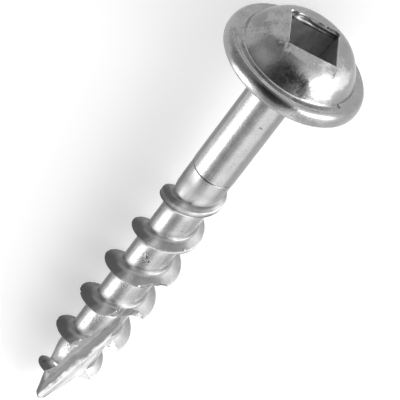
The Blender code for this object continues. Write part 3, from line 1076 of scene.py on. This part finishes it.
tree, place = start_finish(punched)
cloud, fine = use_group(tree, mottle, place, Patch=0.5, Grain=0.09)
streak = use_group(tree, streaks, place, Across=0.14)["Streak"]
grey = total(tree, PUNCHED_PAINTED_LIGHT_GREY, (cloud, 0.26), (fine, 0.14), (streak, 0.26))
lipwise = turn_back(tree, place, (math.radians(90.0), 0.0, RECESS_TURN))
smear = use_group(tree, streaks, lipwise, Across=0.16)["Streak"]
square = split(tree, turn_back(tree, place, (0.0, 0.0, RECESS_TURN)))
top = (FLANGE_T + DOME_H) / MM
lip = ramp(tree, square["Z"], *(top - deep for deep in LIP_DEEP))
lip = times(tree, lip, ramp(tree, square["X"], *LIP_OUT))
smear = calc(tree, "ADD", smear, ramp(tree, square["Y"], -0.9, 0.0, 0.14, -0.10))
smeared = ramp(tree, smear, 0.42, 0.60, 0.30, 1.0)
smeared = times(tree, smeared, ramp(tree, square["Y"], -1.32, -1.05, 0.25, 1.0))
grey = tint(tree, grey, lip, smeared)
# Painted highlight along two of the mouth's edges.
left_edge = ramp(tree, square["Y"], -1.45, -1.57)
near_edge = ramp(tree, square["X"], 1.45, 1.58)
near_edge = times(tree, near_edge, ramp(tree, square["Y"], 0.5, -0.8, 0.0, 0.7))
edge_highlight = ramp(tree, square["Z"], *(top - deep for deep in EDGE_HIGHLIGHT_DEEP))
edge_highlight = times(tree, edge_highlight, calc(tree, "MAXIMUM", left_edge, near_edge))
grey = calc(tree, "MAXIMUM", grey, times(tree, edge_highlight, EDGE_HIGHLIGHT_GREY))
rough = total(tree, PUNCHED_ROUGH, (cloud, 0.2))
height = total(tree, 0.0, (cloud, 0.014), (fine, 0.005), (streak, 0.010))
close_finish(tree, grey, rough, height)

# %% [markdown]
# In the flute the streaks run along the valley, so the coordinates are turned until their Z lies along it.
# The open face carries a painted highlight, and the valley and the wall carry painted shade. A point's
# side is told by the way it looks at the valley's middle line, as an angle round the axis.

# %% The pinched flute
PINCHED_GREY, PINCHED_ROUGH = 0.40, 0.30
# Painted highlight on the open face, painted shade in the valley and on the wall.
FACE_HIGHLIGHT_TINT, VALLEY_SHADE_TINT, WALL_SHADE_TINT = 2.05, 0.40, 0.66
FACE_ENDS = (4.0, 18.0)     # degrees: from face to valley
WALL_BEGINS = (38.0, 52.0)  # and from valley to wall
GREY_LIMIT = 0.95

tree, place = start_finish(pinched)
turned = turn_back(tree, place, valley_run.to_track_quat("Z", "Y").to_euler())
cloud, fine = use_group(tree, mottle, place, Patch=0.7, Grain=0.10)
run, middle = valley_run / MM, flute_middle() / MM
up = split(tree, vector_calc(tree, "SUBTRACT", place, FLUTE_FOOT / MM))["Z"]
up = calc(tree, "DIVIDE", up, run.z)
valley = node(tree, "VectorMath", {0: run, 3: up}, operation="SCALE").outputs[0]
valley = vector_calc(tree, "ADD", valley, FLUTE_FOOT / MM + middle)
inward = split(tree, vector_calc(tree, "SUBTRACT", valley, place))
facing = times(tree, calc(tree, "ARCTAN2", inward["Y"], inward["X"]), math.degrees(1.0))
streak = use_group(tree, streaks, turned, Across=0.11)["Streak"]
broad = use_group(tree, streaks, turned, Across=0.34)["Streak"]
pit = use_group(tree, pits, place, Apart=0.5, Across=0.12, Share=0.3)["Pit"]
grey = total(tree, PINCHED_GREY, (cloud, 0.16), (fine, 0.12), (streak, 0.36), (broad, 0.16))
facing = total(tree, facing, (cloud, 22.0), (broad, 30.0))
# Painted highlight on the open face, painted shade in the valley and on the wall.
grey = times(tree, grey, ramp(tree, facing, *FACE_ENDS, FACE_HIGHLIGHT_TINT, VALLEY_SHADE_TINT))
grey = times(tree, grey, ramp(tree, facing, *WALL_BEGINS, 1.0, WALL_SHADE_TINT / VALLEY_SHADE_TINT))
grey = calc(tree, "MINIMUM", grey, GREY_LIMIT)
grey = tint(tree, grey, pit, 0.6)
rough = total(tree, PINCHED_ROUGH, (cloud, 0.15), (streak, 0.15))
height = total(tree, 0.0, (cloud, 0.010), (fine, 0.005), (streak, 0.012), (broad, 0.016))
height = plus(tree, height, pit, -0.010)
close_finish(tree, grey, rough, height)

# %% [markdown]
# ## The floor
#
# The screw lies on plain white paper, which sends back about four fifths of the light. A little glow, seen
# only by the camera and in reflections and glass, brings it to the photo's white, and the lamps still draw
# the screw's shadow on it.

# %% Floor
PAPER_WHITE = 0.8
FLOOR_GLOW = 0.33
deselect()
bpy.ops.mesh.primitive_plane_add(size=1.2)
floor = bpy.context.object
floor.name = floor.data.name = "floor"
paper = bpy.data.materials.new("white_paper")
paper.use_nodes = True
tree = paper.node_tree
path = node(tree, "LightPath").outputs
seen = calc(tree, "MAXIMUM", path["Is Camera Ray"], path["Is Glossy Ray"])
seen = calc(tree, "MAXIMUM", seen, path["Is Transmission Ray"])
shader = tree.nodes["Principled BSDF"]
shader.inputs["Base Color"].default_value = (PAPER_WHITE, PAPER_WHITE, PAPER_WHITE, 1.0)
shader.inputs["Roughness"].default_value = 1.0
shader.inputs["Specular IOR Level"].default_value = 0.0
shader.inputs["Emission Color"].default_value = (1.0, 1.0, 1.0, 1.0)
tree.links.new(times(tree, seen, FLOOR_GLOW), shader.inputs["Emission Strength"])
floor.data.materials.append(paper)

# %% [markdown]
# ## The light
#
# Polished plate is only as bright as what it mirrors, so the light is laid out as the metal sees it: a
# wide softbox low on the right, a narrow one low on the left, and a studio that is pale towards the
# right and the point's end, and dark overhead. The dark ceiling gives the dome and the flange their
# deep greys. A softbox is given by its direction, its width and height in degrees, and its radiance,
# which is the value that a mirror would show.

# %% Lamps
def heading(azimuth, elevation):
    a, e = math.radians(azimuth), math.radians(elevation)
    return Vector((math.cos(a) * math.cos(e), math.sin(a) * math.cos(e), math.sin(e)))


def softbox(name, azimuth, elevation, wide, tall, radiance, away=0.6):
    """A rectangle of light that looks at the screw from so many metres away."""
    data = bpy.data.lights.new(name, "AREA")
    data.shape = "RECTANGLE"
    data.size = 2.0 * away * math.tan(0.5 * math.radians(wide))
    data.size_y = 2.0 * away * math.tan(0.5 * math.radians(tall))
    data.energy = radiance * math.pi * data.size * data.size_y
    lamp = bpy.data.objects.new(name, data)
    bpy.context.scene.collection.objects.link(lamp)
    lamp.location = heading(azimuth, elevation) * away
    lamp.rotation_euler = lamp.location.to_track_quat("Z", "Y").to_euler()
    print(name, "watts", round(data.energy, 3))


softbox("right_softbox", 112, 22, 29, 44, 5.0)
softbox("left_strip", -46, 21, 22, 40, 2.8)

# %% The studio round it
SIDE = (-0.15, 0.6, 0.42, 1.60)     # from, to along Y, and the radiance at each
POINT_END = (0.2, 0.8, 0.0, 0.55)   # the same along X, added
DARKS = [                           # azimuth, elevation, radius of the dark, where it ends, what is left
    (180, 80, 26, 42, 0.18),
    (4, 62, 13, 30, 0.48),
]

world = bpy.data.worlds.new("studio")
world.use_nodes = True
bpy.context.scene.world = world
tree = world.node_tree
toward = node(tree, "TexCoord").outputs["Generated"]
sides = split(tree, toward)
glow = calc(tree, "ADD", ramp(tree, sides["Y"], *SIDE), ramp(tree, sides["X"], *POINT_END))
for azimuth, elevation, inner, outer, remains in DARKS:
    inputs = {0: toward, 1: heading(azimuth, elevation)}
    facing = node(tree, "VectorMath", inputs, operation="DOT_PRODUCT").outputs["Value"]
    low, high = math.cos(math.radians(outer)), math.cos(math.radians(inner))
    glow = times(tree, glow, ramp(tree, facing, low, high, 1.0, remains))
tree.links.new(glow, tree.nodes["Background"].inputs["Color"])
bpy.context.scene.view_settings.view_transform = "Standard"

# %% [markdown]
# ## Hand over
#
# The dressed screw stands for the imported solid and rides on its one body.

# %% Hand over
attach(screw, "root")
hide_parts("pocket_hole_screw")
